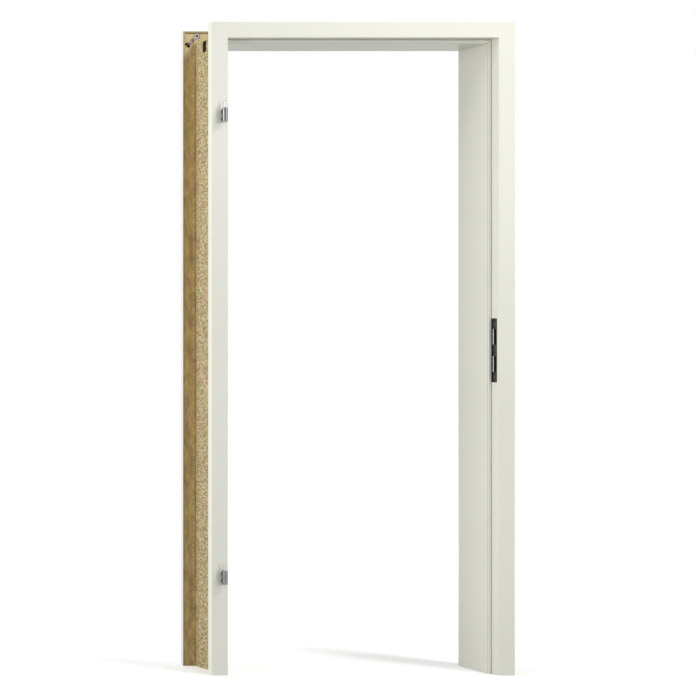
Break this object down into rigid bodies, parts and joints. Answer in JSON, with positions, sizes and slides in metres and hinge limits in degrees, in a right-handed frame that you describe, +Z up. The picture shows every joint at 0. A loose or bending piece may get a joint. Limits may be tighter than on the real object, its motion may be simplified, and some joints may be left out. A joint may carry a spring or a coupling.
{
  "type": "wooden door frame",
  "caption": "Wrap-round wooden door frame: mitred architraves, rebated lining with seal, hinge halves with pins, strike plate, and rear architraves that slide to suit the wall.",
  "frame": {"origin": "on the floor, under the middle of the frame's width and whole depth", "axes": "+Z up, +X to the strike side, +Y from the hinge and leaf side into the wall"},
  "size_m": [0.944, 0.1755, 2.0345],
  "materials": {
    "lacquered_board": "satin white lacquer film",
    "white_seal": "soft matt",
    "hinge_steel": "satin nickel plate",
    "pin_steel": "bright",
    "zinc_casting": "bare casting",
    "dark_strike_steel": "dark satin",
    "dark_screw_steel": "dark satin",
    "zinc_screw_steel": "zinc plate",
    "black_steel": "black satin",
    "black_plastic": "matt"
  },
  "bodies": {
    "frame": {"hinge_side_front_architrave": "lacquered_board", "hinge_side_lining": "lacquered_board", "hinge_side_seal": "white_seal", "strike_side_front_architrave": "lacquered_board", "strike_side_lining": "lacquered_board", "strike_side_seal": "white_seal", "head_front_architrave": "lacquered_board", "head_lining": "lacquered_board", "head_seal": "white_seal", "upper_hinge_barrel": "hinge_steel", "upper_hinge_pin": "pin_steel", "upper_hinge_bushes": "black_plastic", "upper_hinge_receiver": "zinc_casting", "upper_hinge_set_screws": "dark_screw_steel", "upper_hinge_fixing_screws": "zinc_screw_steel", "lower_hinge_barrel": "hinge_steel", "lower_hinge_pin": "pin_steel", "lower_hinge_bushes": "black_plastic", "lower_hinge_receiver": "zinc_casting", "lower_hinge_set_screws": "dark_screw_steel", "lower_hinge_fixing_screws": "zinc_screw_steel", "strike_plate": "dark_strike_steel", "strike_screws": "dark_screw_steel", "strike_box": "black_plastic", "front_left_mitre_cam": "zinc_casting", "front_left_mitre_bolt": "zinc_screw_steel", "front_left_mitre_nut": "black_steel", "front_right_mitre_cam": "zinc_casting", "front_right_mitre_bolt": "zinc_screw_steel", "front_right_mitre_nut": "black_steel", "left_lining_brackets": "black_plastic", "left_bracket_screws": "black_steel", "right_lining_brackets": "black_plastic", "right_bracket_screws": "black_steel"},
    "rear_trim": {"hinge_side_rear_architrave": "lacquered_board", "strike_side_rear_architrave": "lacquered_board", "head_rear_architrave": "lacquered_board", "rear_left_mitre_cam": "zinc_casting", "rear_left_mitre_bolt": "zinc_screw_steel", "rear_left_mitre_nut": "black_steel", "rear_right_mitre_cam": "zinc_casting", "rear_right_mitre_bolt": "zinc_screw_steel", "rear_right_mitre_nut": "black_steel"}
  },
  "joints": [
    {"name": "rear_trim_slide", "type": "slide", "parent": "frame", "child": "rear_trim", "axis": [0, 1, 0], "range_m": [0, 0.02]}
  ]
}
